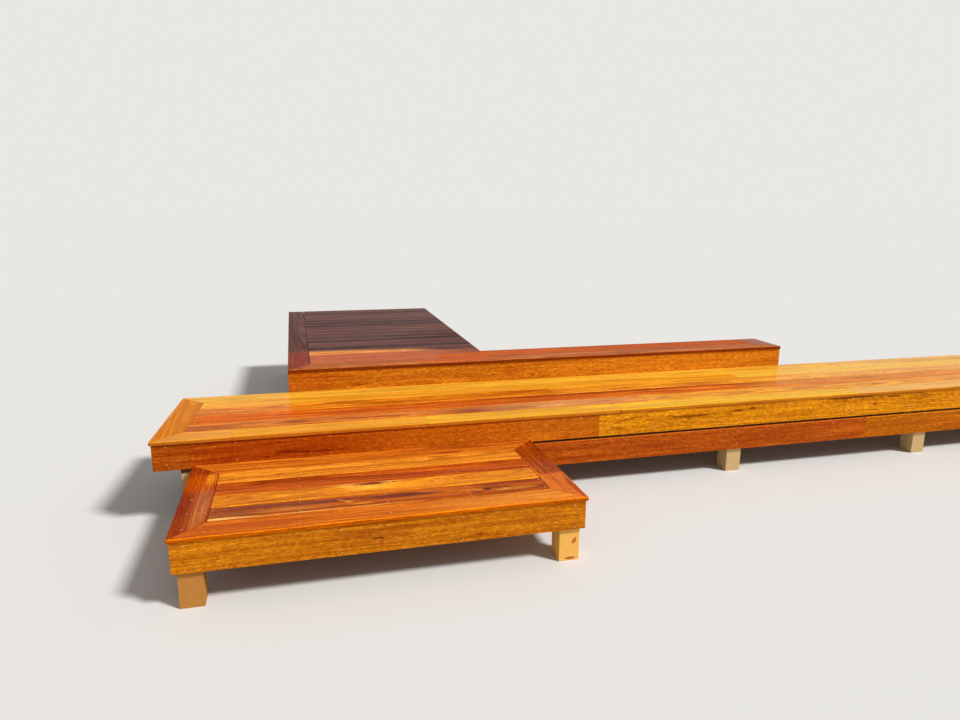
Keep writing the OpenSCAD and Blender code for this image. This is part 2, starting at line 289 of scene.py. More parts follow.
def colourWood(tree, figure, board, grain, rings, tones):
    half = figure["bandSoft"] / figure["contrast"]
    share = addNode(tree, "MapRange", {0: grain["band"], 1: 0.5 - half, 2: 0.5 + half})[0]
    colour = addNode(tree, "Mix", {0: share, 6: tones["dark"], 7: tones["light"]}, data_type="RGBA")[2]
    slow = addNode(tree, "VectorMath", {0: board["field"], 1: perMetre(*figure["patchSize"])},
                   operation="MULTIPLY")[0]
    slow = addNode(tree, "TexNoise", {"Vector": slow, "Scale": 1.0, "Detail": 3.0})[0]
    start, end = figure["patchRange"]
    slow = addNode(tree, "MapRange", {0: slow, 1: start, 2: end, 4: figure["patchShare"]})[0]
    colour = addNode(tree, "Mix", {0: slow, 6: colour, 7: tones["patch"]}, data_type="RGBA")[2]
    if figure["streakShare"]:
        scale = (*perMetre(figure["streakLength"], figure["streakWidth"]), figure["apart"])
        gum = addNode(tree, "VectorMath", {0: rings, 1: scale}, operation="MULTIPLY")[0]
        gum = addNode(tree, "TexNoise", {"Vector": gum, "Scale": 1.0, "Detail": 3.0})[0]
        start, end = figure["streakRange"]
        gum = addNode(tree, "MapRange", {0: gum, 1: start, 2: end, 4: figure["streakShare"]})[0]
        colour = addNode(tree, "Mix", {0: gum, 6: colour, 7: toLinear(figure["streak"])},
                         data_type="RGBA")[2]
    if figure["rowLine"]:
        start, end = [figure["rowPitch"] * place for place in figure["rowLineRange"]]
        caught = addNode(tree, "MapRange", {0: board["across"], 1: start, 2: end,
                                            4: figure["rowLineShare"]})[0]
        colour = addNode(tree, "Mix", {0: caught, 6: colour, 7: toLinear(figure["rowLine"])},
                         data_type="RGBA")[2]
    return colour


# The marks' outlines run out along the streaks
def paintMarks(tree, figure, board, grain, marks, colour):
    level = -(figure["frayBand"] + figure["frayFleck"]) / 2  # brings the noise's middle to zero
    frayed = addNode(tree, "Math", {0: grain["band"], 1: figure["frayBand"], 2: level},
                     operation="MULTIPLY_ADD")[0]
    frayed = addNode(tree, "Math", {0: grain["fleck"], 1: figure["frayFleck"], 2: frayed},
                     operation="MULTIPLY_ADD")[0]
    for mark in marks:
        edge = addNode(tree, "Math", {0: frayed, 1: mark["fray"], 2: mark["reach"]},
                       operation="MULTIPLY_ADD")[0]
        mask = addNode(tree, "MapRange", {0: edge, 1: 1 + mark["soft"] / 2, 2: 1 - mark["soft"] / 2,
                                          4: mark["share"]}, interpolation_type="SMOOTHSTEP")[0]
        if mark["row"] is not None:  # rows are whole numbers, so half a row on each side tells them apart
            inRow = addNode(tree, "Math", {0: board["row"], 1: mark["row"], 2: 0.5}, operation="COMPARE")[0]
            mask = addNode(tree, "Math", {0: mask, 1: inRow}, operation="MULTIPLY")[0]
        colour = addNode(tree, "Mix", {0: mask, 6: colour, 7: toLinear(mark["colour"])}, data_type="RGBA")[2]
    return colour


# The milled edges: a painted highlight on the round along the face, and painted shade on the wood below it
def millEdges(tree, figure, board, tones, colour):
    below = addNode(tree, "Math", {0: board["through"], 1: -figure["face"], 2: board["half"]},
                    operation="MULTIPLY_ADD")[0]
    for tone in ("arris", "edge"):
        start, end = figure[tone + "Range"]
        reached = addNode(tree, "MapRange", {0: below, 1: start, 2: end})[0]
        colour = addNode(tree, "Mix", {0: reached, 6: colour, 7: tones[tone]}, data_type="RGBA")[2]
    return colour


def hardwood(name, node, look):
    figure = dict(hardwoodFigure, **look)
    material, tree = newMaterial(name)
    board = layOut(tree, figure, node)
    marks = findMarks(tree, figure, board)
    rings = growRings(tree, figure, board, marks)
    grain = readGrain(tree, figure, board, rings)
    tones = shadeTones(tree, figure, board)
    colour = colourWood(tree, figure, board, grain, rings, tones)
    colour = paintMarks(tree, figure, board, grain, marks, colour)
    colour = millEdges(tree, figure, board, tones, colour)

    # Fine lines, flecks, ribbons, fibres and open pores make the colour deeper or paler
    start, end = figure["detailRange"]
    shade = 1.0
    for kind in ("line", "fleck", "ribbon", "fibre"):
        depth = figure[kind + "Depth"]
        part = addNode(tree, "MapRange", {0: grain[kind], 1: start, 2: end, 3: 1 - depth, 4: 1 + depth})[0]
        shade = addNode(tree, "Math", {0: part, 1: shade}, operation="MULTIPLY")[0]
    poreStart, poreEnd = figure["poreRange"]
    openPore = addNode(tree, "MapRange", {0: grain["pore"], 1: poreStart, 2: poreEnd, 3: 1.0,
                                          4: 1 - figure["poreDepth"]})[0]
    shade = addNode(tree, "Math", {0: shade, 1: openPore}, operation="MULTIPLY")[0]
    depths = [addNode(tree, "Math", {0: shade, 1: power}, operation="POWER")[0] for power in oilPowers]
    depths = addNode(tree, "CombineXYZ", dict(enumerate(depths)))[0]
    colour = addNode(tree, "VectorMath", {0: colour, 1: depths}, operation="MULTIPLY")[0]

    # The oil fills the fine grain, so the relief is slight and the gloss is broken only a little
    height = addNode(tree, "Math", {0: grain["fibre"], 1: figure["fibreRelief"], 2: openPore},
                     operation="MULTIPLY_ADD")[0]
    height = addNode(tree, "Math", {0: grain["fleck"], 1: figure["fleckRelief"], 2: height},
                     operation="MULTIPLY_ADD")[0]
    normal = addNode(tree, "Bump", {"Strength": figure["reliefStrength"],
                                    "Distance": figure["relief"] / 1000, "Height": height})[0]
    wet, dull = figure["roughness"]
    rough = addNode(tree, "MapRange", {0: grain["fleck"], 1: start, 2: end, 3: wet, 4: dull})[0]
    shader = addNode(tree, "BsdfPrincipled", {"Base Color": colour, "Roughness": rough, "Normal": normal,
                                              "IOR": figure["ior"],
                                              "Specular IOR Level": figure["shine"]})[0]
    addNode(tree, "OutputMaterial", {0: shader})
    return material


# Treated pine, sawn and left bare: pale wood with straight growth lines, a faint green tint and no gloss.
# Widths are in millimetres. Turns count how often a pattern changes in a metre along, across and through.
pineFigure = dict(
    grain="xyz",
    seed=0.0,
    seedAcross=0.37,
    early="#D8B67E",
    late="#A47E4C",
    ring=5.5,                 # one year's growth
    slope=0.45,               # how much the rings lean
    bend=0.105,               # in metres
    bendTurns=(1.2, 7.0, 7.0),
    lateRange=(0.35, 0.92),   # shares of a ring
    lateShare=0.75,
    tint="#ACA272",
    tintTurns=(2.5, 9.0, 9.0),
    tintRange=(0.4, 0.7),
    tintShare=0.3,
    sawnTurns=(40.0, 700.0, 700.0),   # fine marks of the saw's teeth
    sawnRange=(0.25, 0.75),
    sawnShade=(0.86, 1.12),
    relief=0.6,
    reliefStrength=0.5,
    roughness=0.72,
    shine=0.3,
    marks=(),
)

# A knot has its place on the site and its half sizes along, across and through the timber
plainKnot = dict(
    turn=0.0,
    outline=(1.1, 0.6),       # where it begins and where it has its full colour, in its own sizes
    share=1.0,
    swirl=0.02,               # how far it pushes the rings aside
    spread=2.8,               # and over how many of its sizes
)


def pine(name, look):
    figure = dict(pineFigure, **look)
    order = ["xyz".index(c) for c in figure["grain"]]
    material, tree = newMaterial(name)
    axes = addNode(tree, "SeparateXYZ", {0: addNode(tree, "TexCoord")["Object"]})
    place = addNode(tree, "CombineXYZ", {0: axes[order[0]], 1: axes[order[1]], 2: axes[order[2]]})[0]
    shift = (figure["seed"], figure["seedAcross"] * figure["seed"], 0)
    field = addNode(tree, "VectorMath", {0: place, 1: shift}, operation="ADD")[0]
    bend = addNode(tree, "VectorMath", {0: field, 1: figure["bendTurns"]}, operation="MULTIPLY")[0]
    bend = addNode(tree, "TexNoise", {"Vector": bend, "Scale": 1.0, "Detail": 2.0})[0]
    shifted = addNode(tree, "SeparateXYZ", {0: field})
    rings = addNode(tree, "Math", {0: shifted[2], 1: figure["slope"], 2: shifted[1]},
                    operation="MULTIPLY_ADD")[0]
    rings = addNode(tree, "Math", {0: bend, 1: figure["bend"], 2: rings}, operation="MULTIPLY_ADD")[0]
    masks = []
    for mark in figure["marks"]:
        knot = dict(plainKnot, **mark)
        at = [knot["at"][i] + zero[order[i]] for i in range(3)]
        reach = addNode(tree, "Mapping", {"Vector": place, "Location": at, "Rotation": (0, 0, knot["turn"]),
                                          "Scale": knot["size"]}, vector_type="TEXTURE")[0]
        reach = addNode(tree, "VectorMath", {0: reach}, operation="LENGTH")["Value"]
        swirl = addNode(tree, "MapRange", {0: reach, 1: knot["spread"], 2: 0.0, 4: knot["swirl"]},
                        interpolation_type="SMOOTHSTEP")[0]
        rings = addNode(tree, "Math", {0: rings, 1: swirl}, operation="ADD")[0]
        start, end = knot["outline"]
        mask = addNode(tree, "MapRange", {0: reach, 1: start, 2: end, 4: knot["share"]},
                       interpolation_type="SMOOTHSTEP")[0]
        masks.append((mask, toLinear(knot["colour"])))
    phase = addNode(tree, "Math", {0: rings, 1: figure["ring"] / 1000}, operation="DIVIDE")[0]
    phase = addNode(tree, "Math", {0: phase}, operation="FRACT")[0]
    start, end = figure["lateRange"]
    late = addNode(tree, "MapRange", {0: phase, 1: start, 2: end, 4: figure["lateShare"]},
                   interpolation_type="SMOOTHSTEP")[0]
    colour = addNode(tree, "Mix", {0: late, 6: toLinear(figure["early"]), 7: toLinear(figure["late"])},
                     data_type="RGBA")[2]
    stain = addNode(tree, "VectorMath", {0: field, 1: figure["tintTurns"]}, operation="MULTIPLY")[0]
    stain = addNode(tree, "TexNoise", {"Vector": stain, "Scale": 1.0, "Detail": 3.0})[0]
    start, end = figure["tintRange"]
    stain = addNode(tree, "MapRange", {0: stain, 1: start, 2: end, 4: figure["tintShare"]})[0]
    colour = addNode(tree, "Mix", {0: stain, 6: colour, 7: toLinear(figure["tint"])}, data_type="RGBA")[2]
    for mask, knotColour in masks:
        colour = addNode(tree, "Mix", {0: mask, 6: colour, 7: knotColour}, data_type="RGBA")[2]
    sawn = addNode(tree, "VectorMath", {0: field, 1: figure["sawnTurns"]}, operation="MULTIPLY")[0]
    sawn = addNode(tree, "TexNoise", {"Vector": sawn, "Scale": 1.0, "Detail": 2.0})[0]
    start, end = figure["sawnRange"]
    dark, light = figure["sawnShade"]
    shade = addNode(tree, "MapRange", {0: sawn, 1: start, 2: end, 3: dark, 4: light})[0]
    colour = addNode(tree, "HueSaturation", {"Value": shade, "Color": colour})[0]
    normal = addNode(tree, "Bump", {"Strength": figure["reliefStrength"],
                                    "Distance": figure["relief"] / 1000, "Height": sawn})[0]
    shader = addNode(tree, "BsdfPrincipled", {"Base Color": colour, "Roughness": figure["roughness"],
                                              "Normal": normal, "Specular IOR Level": figure["shine"]})[0]
    addNode(tree, "OutputMaterial", {0: shader})
    return material


# The fascias are cut across the rings, and so they show more flecks and ribbons than streaks
fasciaFigure = dict(
    grain="xzy", face=-1, wander=0.04, contrast=1.1, spread=0.22, band=9.0, bandLength=550.0, lineDepth=0.14,
    fleck=4.5, fleckLength=16.0, fleckDepth=0.25, ribbon=14.0, ribbonLength=34.0, ribbonDepth=0.16,
)
stepBoards = dict(
    step_frame_back=dict(tone="#C86414", seed=3.0, marks=[
        dict(at=(1.47, -0.955), size=(0.085, 0.010), colour="#8A300C", swirl=0.006)]),
    step_board_1=dict(tone="#E88824", seed=5.0, marks=[
        dict(at=(0.575, -1.065), size=(0.026, 0.004), colour="#7A3008", turn=0.25, swirl=0.006)]),
    step_board_2=dict(tone="#B44808", seed=7.0),
    step_board_3=dict(tone="#F08C10", seed=9.0, streak="#8E4010", streakShare=0.5, marks=[
        dict(at=(1.00, -1.306), size=(0.125, 0.034), colour="#FFBC50", swirl=0.024, fray=1.2, share=0.6),
        dict(at=(1.005, -1.305), size=(0.088, 0.024), colour="#B4500E", fray=0.8, soft=0.4, share=0.7),
        dict(at=(1.01, -1.308), size=(0.066, 0.018), colour="#FFB040", fray=0.8, soft=0.4, share=0.8),
        dict(at=(1.01, -1.301), size=(0.056, 0.015), colour="#8A2E0A", fray=0.7, soft=0.4, share=1.0),
        dict(at=(1.12, -1.300), size=(0.014, 0.006), colour="#7A3010", swirl=0.006),
        dict(at=(0.98, -1.350), size=(0.11, 0.012), colour="#FFB63C", fray=1.6, share=0.6),
        dict(at=(1.33, -1.315), size=(0.012, 0.004), colour="#6A2808", swirl=0.004),
        dict(at=(0.36, -1.305), size=(0.012, 0.004), colour="#6A2808")]),
    step_board_4=dict(tone="#AC4804", seed=11.0, streak="#4A1C0A", streakShare=0.35, marks=[
        dict(at=(0.62, -1.455), size=(0.40, 0.026), colour="#7C3C24", fray=1.8, soft=0.8, share=0.85),
        dict(at=(0.66, -1.505), size=(0.22, 0.016), colour="#CE8034", fray=1.8, soft=0.8, share=0.7),
        dict(at=(0.40, -1.500), size=(0.13, 0.016), colour="#8A5234", fray=1.6, soft=0.9, share=0.7),
        dict(at=(1.12, -1.475), size=(0.20, 0.030), colour="#6A2A18",
             fray=1.8, soft=0.8, share=0.85, turn=-0.04),
        dict(at=(0.875, -1.474), size=(0.034, 0.007), colour="#E08A34",
             fray=2.4, soft=0.8, share=0.8, turn=-0.5),
        dict(at=(0.890, -1.492), size=(0.024, 0.012), colour="#F29A2C",
             fray=2.4, soft=0.8, share=0.85, turn=0.4),
        dict(at=(0.945, -1.517), size=(0.055, 0.009), colour="#F29A2C", fray=2.4, soft=0.8, share=0.8),
        dict(at=(0.36, -1.545), size=(0.14, 0.009), colour="#FBC26A", fray=1.4),
        dict(at=(0.78, -1.552), size=(0.44, 0.007), colour="#F2A448", share=0.85, fray=1.4),
        dict(at=(1.45, -1.490), size=(0.06, 0.014), colour="#DC8424", fray=2.0, soft=0.8, share=0.7),
        dict(at=(1.54, -1.495), size=(0.020, 0.012), colour="#4E1C0A", swirl=0.016, spread=3.5, fray=1.2),
        dict(at=(1.66, -1.512), size=(0.08, 0.012), colour="#E08C2C", fray=2.0, soft=0.8, share=0.7)]),
    step_frame_front=dict(tone="#D86C04", seed=13.0, spread=0.3, marks=[
        dict(at=(0.36, -1.630), size=(0.50, 0.070), colour="#AE3E08", fray=1.2, soft=1.4, share=0.6),
        dict(at=(1.72, -1.630), size=(0.40, 0.070), colour="#F09434", fray=1.2, soft=1.4, share=0.5)]),
    step_frame_left=dict(grain="yxz", tone="#983608", seed=15.0, wander=0.032, contrast=1.0, spread=0.3,
                         shine=0.008, marks=[
        dict(at=(-1.36, 0.250), size=(0.23, 0.045), colour="#C87444", fray=1.2, soft=1.0, share=0.55),
        dict(at=(-1.33, 0.175), size=(0.14, 0.032), colour="#8A2E0C", fray=1.2, soft=0.8, share=0.7),
        dict(at=(-1.10, 0.215), size=(0.13, 0.070), colour="#CC5408", fray=1.0, soft=0.8, share=0.7),
        dict(at=(-1.05, 0.262), size=(0.07, 0.020), colour="#E8861C", fray=2.4, soft=1.2, share=0.8),
        dict(at=(-0.97, 0.235), size=(0.03, 0.050), colour="#8A2C08", fray=1.0, soft=0.6, share=0.6),
        dict(at=(-1.53, 0.235), size=(0.15, 0.036), colour="#C46C2C", fray=1.6, soft=1.0, share=0.6)]),
    step_frame_right=dict(grain="yxz", tone="#D05C04", seed=17.0, marks=[
        dict(at=(-1.14, 1.893), size=(0.32, 0.080), colour="#842E0A", fray=1.2, soft=1.0, share=0.65),
        dict(at=(-1.62, 1.893), size=(0.24, 0.200), colour="#DC6C1C",
             fray=0.2, soft=0.1, share=0.85, square=True),
        dict(at=(-1.58, 1.955), size=(0.12, 0.012), colour="#8E2E0C", fray=1.2, share=0.7)]),
    step_fascia_front=dict(fasciaFigure, tone="#C47010", seed=19.0, marks=[
        dict(at=(1.0, 0.255), size=(0.16, 0.040), colour="#A04A10", share=0.5, soft=1.2),
        dict(at=(1.0, 0.231), size=(0.035, 0.004), colour="#6A2408"),
        dict(at=(1.74, 0.245), size=(0.12, 0.035), colour="#A85210", share=0.4, soft=1.2),
        dict(at=(1.45, 0.197), size=(0.014, 0.006), colour="#8E3C0E", swirl=0.006)]),
    step_fascia_left=dict(fasciaFigure, grain="yzx", tone="#B86018", seed=21.0),
    step_fascia_right=dict(fasciaFigure, grain="yzx", face=1, tone="#BC6418", seed=23.0),
)
frontJoints = (0.347, 1.373, 2.539, 4.244)  # butt joints in the deck's front board
# The pale boards have the calmest grain
calmFigure = dict(
    arris=1.0, spread=0.22, wander=0.04, lineDepth=0.14, fleckDepth=0.10, fibreDepth=0.06, ribbonDepth=0.05,
)
deckBoards = dict(
    deck_frame_left=dict(calmFigure, grain="yxz", tone="#D87C08", seed=31.0, edge=0.6, spread=0.14,
                         patchShare=0.2, shine=0.008),
    # Its edges are painted in a darker given colour: painted shade
    deck_frame_front=dict(calmFigure, joints=frontJoints, seed=33.0, edge="#C6721C",
                          tone=["#F0A030", "#F09C10", "#F8B010", "#F8B810", "#F0B050"]),
    deck_frame_back=dict(calmFigure, joints=(4.686,), seed=39.0, tone=["#F4B434", "#F0B048"]),
    deck_board_1=dict(calmFigure, joints=(3.726,), seed=42.0, tone=["#F0A028", "#FCC444"]),
    deck_board_2=dict(joints=(2.286,), seed=45.0, tone=["#D06C10", "#E48820"], marks=[
        dict(at=(5.15, -0.356), size=(1.40, 0.14), colour="#F4B044", fray=0.8, soft=0.8, share=0.55)]),
    deck_board_3=dict(joints=(1.845,), seed=48.0, shine=0.008, tone=["#CA5604", "#CA5804"], marks=[
        # A dark maroon band along the back of the second length: partly the board's own colour, partly a
        # painted reflection of the landing's dark front edge
        dict(at=(3.00, -0.455), size=(1.25, 0.022), colour="#8A300E", fray=1.3, soft=0.6, share=0.8),
        dict(at=(5.15, -0.499), size=(1.40, 0.14), colour="#EC9C38", fray=1.0, soft=0.8, share=0.55)]),
    deck_board_4=dict(joints=(2.790,), seed=51.0, spread=0.6, tone=["#C05C04", "#F49C04"], marks=[
        dict(at=(2.35, -0.642), size=(0.50, 0.14), colour="#E8A058", fray=0.8, soft=0.8, share=0.5)]),
    deck_frame_right=dict(calmFigure, grain="yxz", tone="#E09028", seed=54.0, edge=0.6),
    deck_fascia_upper=dict(fasciaFigure, joints=(2.403,), seed=56.0, tone=["#BC5C0C", "#D88410"],
                           streak="#8A4408", streakWidth=5.0, streakLength=60.0, streakShare=0.55, marks=[
        dict(at=(0.55, 0.385), size=(0.55, 0.09), colour="#9E360A", fray=0.8, soft=1.2, share=0.65),
        dict(at=(1.75, 0.385), size=(0.60, 0.09), colour="#D07014", fray=0.8, soft=1.2, share=0.55),
        dict(at=(0.62, 0.362), size=(0.05, 0.004), colour="#7A1E08", fray=1.5),
        dict(at=(0.80, 0.352), size=(0.15, 0.004), colour="#7A1E08", fray=1.5),
        dict(at=(0.52, 0.340), size=(0.012, 0.004), colour="#6E2008"),
        dict(at=(2.60, 0.402), size=(0.13, 0.010), colour="#9C5208",
             fray=2.6, soft=0.7, share=0.7, turn=0.14),
        dict(at=(2.52, 0.352), size=(0.07, 0.010), colour="#A85C08",
             fray=2.4, soft=0.7, share=0.6, turn=-0.3),
        dict(at=(3.02, 0.392), size=(0.10, 0.005), colour="#7E4008",
             fray=2.4, soft=0.7, share=0.8, swirl=0.006),
        dict(at=(3.45, 0.412), size=(0.020, 0.005), colour="#6E3608", fray=1.4, swirl=0.005),
        dict(at=(3.34, 0.405), size=(0.030, 0.004), colour="#6E3608", fray=1.4),
        dict(at=(4.13, 0.435), size=(0.16, 0.005), colour="#7A3C08", fray=2.4, soft=0.7, share=0.8),
        dict(at=(4.38, 0.385), size=(0.020, 0.020), colour="#94420C",
             fray=2.4, soft=0.8, swirl=0.006, share=0.8),
        dict(at=(4.53, 0.425), size=(0.050, 0.005), colour="#6A3008", fray=2.0)]),
    # The lower fascia's round and edges are painted paler than its face: painted light on its top edge,
    # which lies in the upper fascia's shade
    deck_fascia_lower=dict(fasciaFigure, joints=(4.330,), seed=59.0, tone=["#AC4C10", "#B8600C"],
                           spread=0.2, arris=1.5, edge=1.7),
    deck_fascia_left=dict(fasciaFigure, grain="yzx", tone="#A84810", seed=62.0),
    deck_fascia_right=dict(fasciaFigure, grain="yzx", face=1, tone="#BC6C18", seed=64.0),
)
# The landing's dark tones are painted shade; its orange and golden marks are painted sunlight
landingBoards = dict(
    landing_frame_front=dict(tone="#B05820", seed=71.0, edge=0.5, spread=0.4, shine=0.004, marks=[
        dict(at=(1.74, 0.070), size=(0.26, 0.080), colour="#D05408", fray=1.0, soft=0.6, share=0.7)]),
    # the left frame's dark tone is painted shade
    landing_frame_left=dict(grain="yxz", tone="#603C34", seed=73.0, spread=0.25, wander=0.032,
                            shine=0.001, marks=[
        # painted sunlight on the frame's front end, with a painted shadow edge behind it
        dict(at=(0.14, 0.70), size=(0.42, 0.20), colour="#8E3E2C", fray=0.5, soft=0.2, square=True)]),
    landing_frame_right=dict(grain="yxz", tone="#984830", seed=75.0),
    # the five dark row tones are painted shade
    landing_boards=dict(rowPitch=boardPitch, seed=77.0, spread=0.3, patchShare=0.25, rowLine="#8E706A",
                        tone=["#643C34", "#583830", "#503430", "#684038", "#603C34"], shine=0.001, marks=[
        # painted sunlight on rows 0 to 2, narrowing to the right along a painted shadow edge
        dict(at=(1.00, 0.204), size=(1.80, 0.40), colour="#D06C42", share=0.8, fray=0.5, soft=0.5, row=0),
        dict(at=(0.70, 0.310), size=(1.25, 0.20), colour="#D06C42", share=0.8, fray=0.8, soft=0.5, row=1),
        dict(at=(0.70, 0.390), size=(0.85, 0.16), colour="#F09A50", share=0.9, fray=0.8, soft=0.5, row=2),
        # painted sunlight on the front rows of the shallow part
        dict(at=(3.15, 0.120), size=(1.50, 0.156), colour="#CC5C1A",
             share=0.8, fray=0.0, soft=0.02, square=True),
        dict(at=(3.10, 0.300), size=(1.13, 0.040), colour="#CC5C1A",
             share=0.8, fray=0.0, soft=0.02, square=True)]),
    landing_fascia=dict(fasciaFigure, tone="#C87416", seed=99.0, marks=[
        dict(at=(0.70, 0.525), size=(0.30, 0.09), colour="#B0520E", fray=0.8, soft=1.2, share=0.6),
        dict(at=(3.40, 0.525), size=(0.70, 0.09), colour="#E48E20", fray=0.8, soft=1.2, share=0.5),
        dict(at=(2.12, 0.530), size=(0.030, 0.030), colour="#B4500E", fray=1.5, share=0.6, soft=1.0),
        dict(at=(2.28, 0.495), size=(0.016, 0.007), colour="#93400C", swirl=0.006),
        dict(at=(1.99, 0.510), size=(0.015, 0.005), colour="#8A3A0A", swirl=0.004),
        dict(at=(1.08, 0.490), size=(0.030, 0.006), colour="#A04A0C", swirl=0.006)]),
)
for boards in (stepBoards, deckBoards, landingBoards):
    for node, look in boards.items():
        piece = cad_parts[node]
        piece.data.materials.clear()
        piece.data.materials.append(hardwood("oiled hardwood " + node, node, look))
print("hardwood finished")

pineTimbers = dict(
    step_rims=dict(seed=1.0), step_joists=dict(grain="yxz", seed=2.0),
    step_posts=dict(grain="zxy", seed=3.0, early="#F8BE5C", late="#D8923C", tint="#E8AE50", marks=[
        dict(at=(0.100, 1.918, -1.673), size=(0.020, 0.012, 0.02), colour="#C8641C", turn=0.6),
        dict(at=(0.012, 1.900, -1.673), size=(0.008, 0.030, 0.02), colour="#B85A1C"),
        # The left front post is painted darker all over: partly oil stain and partly painted shade
        dict(at=(0.09, 0.217, -1.623), size=(0.5, 0.14, 0.14), colour="#A0601E", share=0.75, swirl=0.0)]),
    deck_rim_front=dict(seed=5.0), deck_rim_back=dict(seed=6.0), deck_joists=dict(grain="yxz", seed=7.0),
    # The bearers and stubs under the deck are painted dark: painted shade
    deck_bearers=dict(seed=19.0, early="#6E4A30", late="#4E3220", tint="#5A4430"),
    deck_stubs=dict(grain="zxy", seed=8.0, early="#6E4A30", late="#4E3220", tint="#5A4430"),
    # A dark band painted round the front posts at the gap between the fascias: painted shade
    deck_posts_front=dict(grain="zxy", seed=9.0, marks=[
        dict(at=(0.298, 3.2, -0.8), size=(0.022, 9.0, 9.0), colour="#5E3E26", swirl=0.0)]),
    deck_posts_back=dict(grain="zxy", seed=10.0),
    landing_rims=dict(seed=11.0), landing_rim_back=dict(seed=12.0), landing_bearer=dict(seed=13.0),
    landing_joists=dict(grain="yxz", seed=14.0),
    landing_posts_front=dict(grain="zxy", seed=15.0), landing_posts_middle=dict(grain="zxy", seed=16.0),
    landing_posts_bearer=dict(grain="zxy", seed=17.0), landing_posts_back=dict(grain="zxy", seed=18.0),
)
for node, look in pineTimbers.items():
    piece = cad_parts[node]
    piece.data.materials.clear()
    piece.data.materials.append(pine("treated pine " + node, look))
print("pine finished")

# Every timber has its edges rounded: the decking boards by their milled round, the pine only a little
arris = dict(hardwood=0.0035, pine=0.002, segments=3, sharpest=math.radians(30), weld=0.00005)
for node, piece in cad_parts.items():
    piece.modifiers.new("weld", "WELD").merge_threshold = arris["weld"]
    edge = piece.modifiers.new("arris", "BEVEL")
    edge.width = arris["pine"] if node in pineTimbers else arris["hardwood"]
    edge.segments = arris["segments"]
    edge.limit_method = "ANGLE"
    edge.angle_limit = arris["sharpest"]
print("arrises rounded")

# Decking screws of stainless steel, pressed and left satin: small countersunk heads with a six-lobed recess,
# which catch the light as pale dots and mirror the warm boards
screw = dict(
    radius=0.0043,
    sides=12,
    height=0.0020,
    proud=0.0006,
    cone=0.55,                # width of the head's underside, as a share of its top
    rim=0.0009,
    fall=0.0003,              # how far the rim lies below the middle of the head
    recess=0.0021,
    depth=0.0005,
    lobe=0.62,                # how far every second side of the recess is drawn in
    slack=0.0001,
    fromMiddle=0.045,         # of the board
    seed=5,
    roughness=0.45,
)


def pickFaces(mesh, facing):  # facing is 1 for the faces that look up, and -1 for those that look down
    for polygon in mesh.polygons:
        polygon.select = round(polygon.normal.z) == facing
    for edge in mesh.edges:
        edge.select = False
    for vertex in mesh.vertices:
        vertex.select = False
    for polygon in mesh.polygons:
        if polygon.select:
            for i in polygon.vertices:
                mesh.vertices[i].select = True


def screwHead():
    bpy.ops.object.select_all(action="DESELECT")
    bpy.ops.mesh.primitive_cylinder_add(vertices=screw["sides"], radius=screw["radius"],
                                        depth=screw["height"],
                                        location=(0, 0, screw["proud"] - screw["height"] / 2))
    head = bpy.context.object
    bpy.ops.object.transform_apply(location=True, rotation=True, scale=True)
    pickFaces(head.data, -1)
    bpy.ops.object.mode_set(mode="EDIT")
    bpy.ops.mesh.select_mode(type="FACE")
    bpy.ops.transform.resize(value=(screw["cone"], screw["cone"], 1))
    bpy.ops.object.mode_set(mode="OBJECT")
    pickFaces(head.data, 1)
    bpy.ops.object.mode_set(mode="EDIT")
    bpy.ops.mesh.inset(thickness=screw["rim"], depth=0.0)
    bpy.ops.mesh.inset(thickness=screw["radius"] - screw["rim"] - screw["recess"], depth=0.0)
    bpy.ops.mesh.extrude_region_move(TRANSFORM_OT_translate={"value": (0, 0, -screw["depth"])})
    bpy.ops.object.mode_set(mode="OBJECT")
    for vertex in head.data.vertices:
        reach = math.hypot(vertex.co.x, vertex.co.y)
        turn = round(math.atan2(vertex.co.y, vertex.co.x) / (2 * math.pi) * screw["sides"])
        if reach < screw["recess"] + screw["slack"] and vertex.co.z > 0 and turn % 2:
            vertex.co.x *= screw["lobe"]
            vertex.co.y *= screw["lobe"]
        if reach > screw["radius"] - screw["slack"] and vertex.co.z > 0:
            vertex.co.z -= screw["fall"]
    return head


def driveScrews(name, spots, colour):
    head = screwHead()
    chance = random.Random(screw["seed"])
    copies = []
    for place, facing in spots:
        copy = head.copy()
        copy.data = head.data.copy()
        turn = Matrix.Rotation(chance.uniform(0, 2 * math.pi), 4, "Z")
        aim = Vector(facing).to_track_quat("Z", "Y").to_matrix().to_4x4()
        copy.matrix_world = Matrix.Translation(place) @ aim @ turn
        scene.collection.objects.link(copy)
        copies.append(copy)
    bpy.data.objects.remove(head)
    bpy.ops.object.select_all(action="DESELECT")
    for copy in copies:
        copy.select_set(True)
    bpy.context.view_layer.objects.active = copies[0]
    bpy.ops.object.join()
    piece = bpy.context.object
    bpy.ops.object.transform_apply(location=True, rotation=True, scale=True)
    piece.name = name
    piece.data.materials.clear()
    steel, tree = newMaterial("stainless steel " + name)
    shader = addNode(tree, "BsdfPrincipled", {"Base Color": toLinear(colour), "Metallic": 1.0,
                                              "Roughness": screw["roughness"]})[0]
    addNode(tree, "OutputMaterial", {0: shader})
    piece.data.materials.append(steel)
    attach(piece, "root")
    print(name, len(copies), "screws")


up, front, left, right = (0, 0, 1), (0, -1, 0), (-1, 0, 0), (1, 0, 0)


# A screw at each crossing of the lines, which are given on the site
def crossings(xs, ys, zs, facing):
    return [(Vector((zero.x + x, zero.y + y, z)), facing) for x in xs for y in ys for z in zs]


# The two lines of screws along a row of boards with its middle at y
def alongRow(y):
    return [y - screw["fromMiddle"], y + screw["fromMiddle"]]


def middleOf(node):
    low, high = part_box(node)
    return (low.y + high.y) / 2 - zero.y


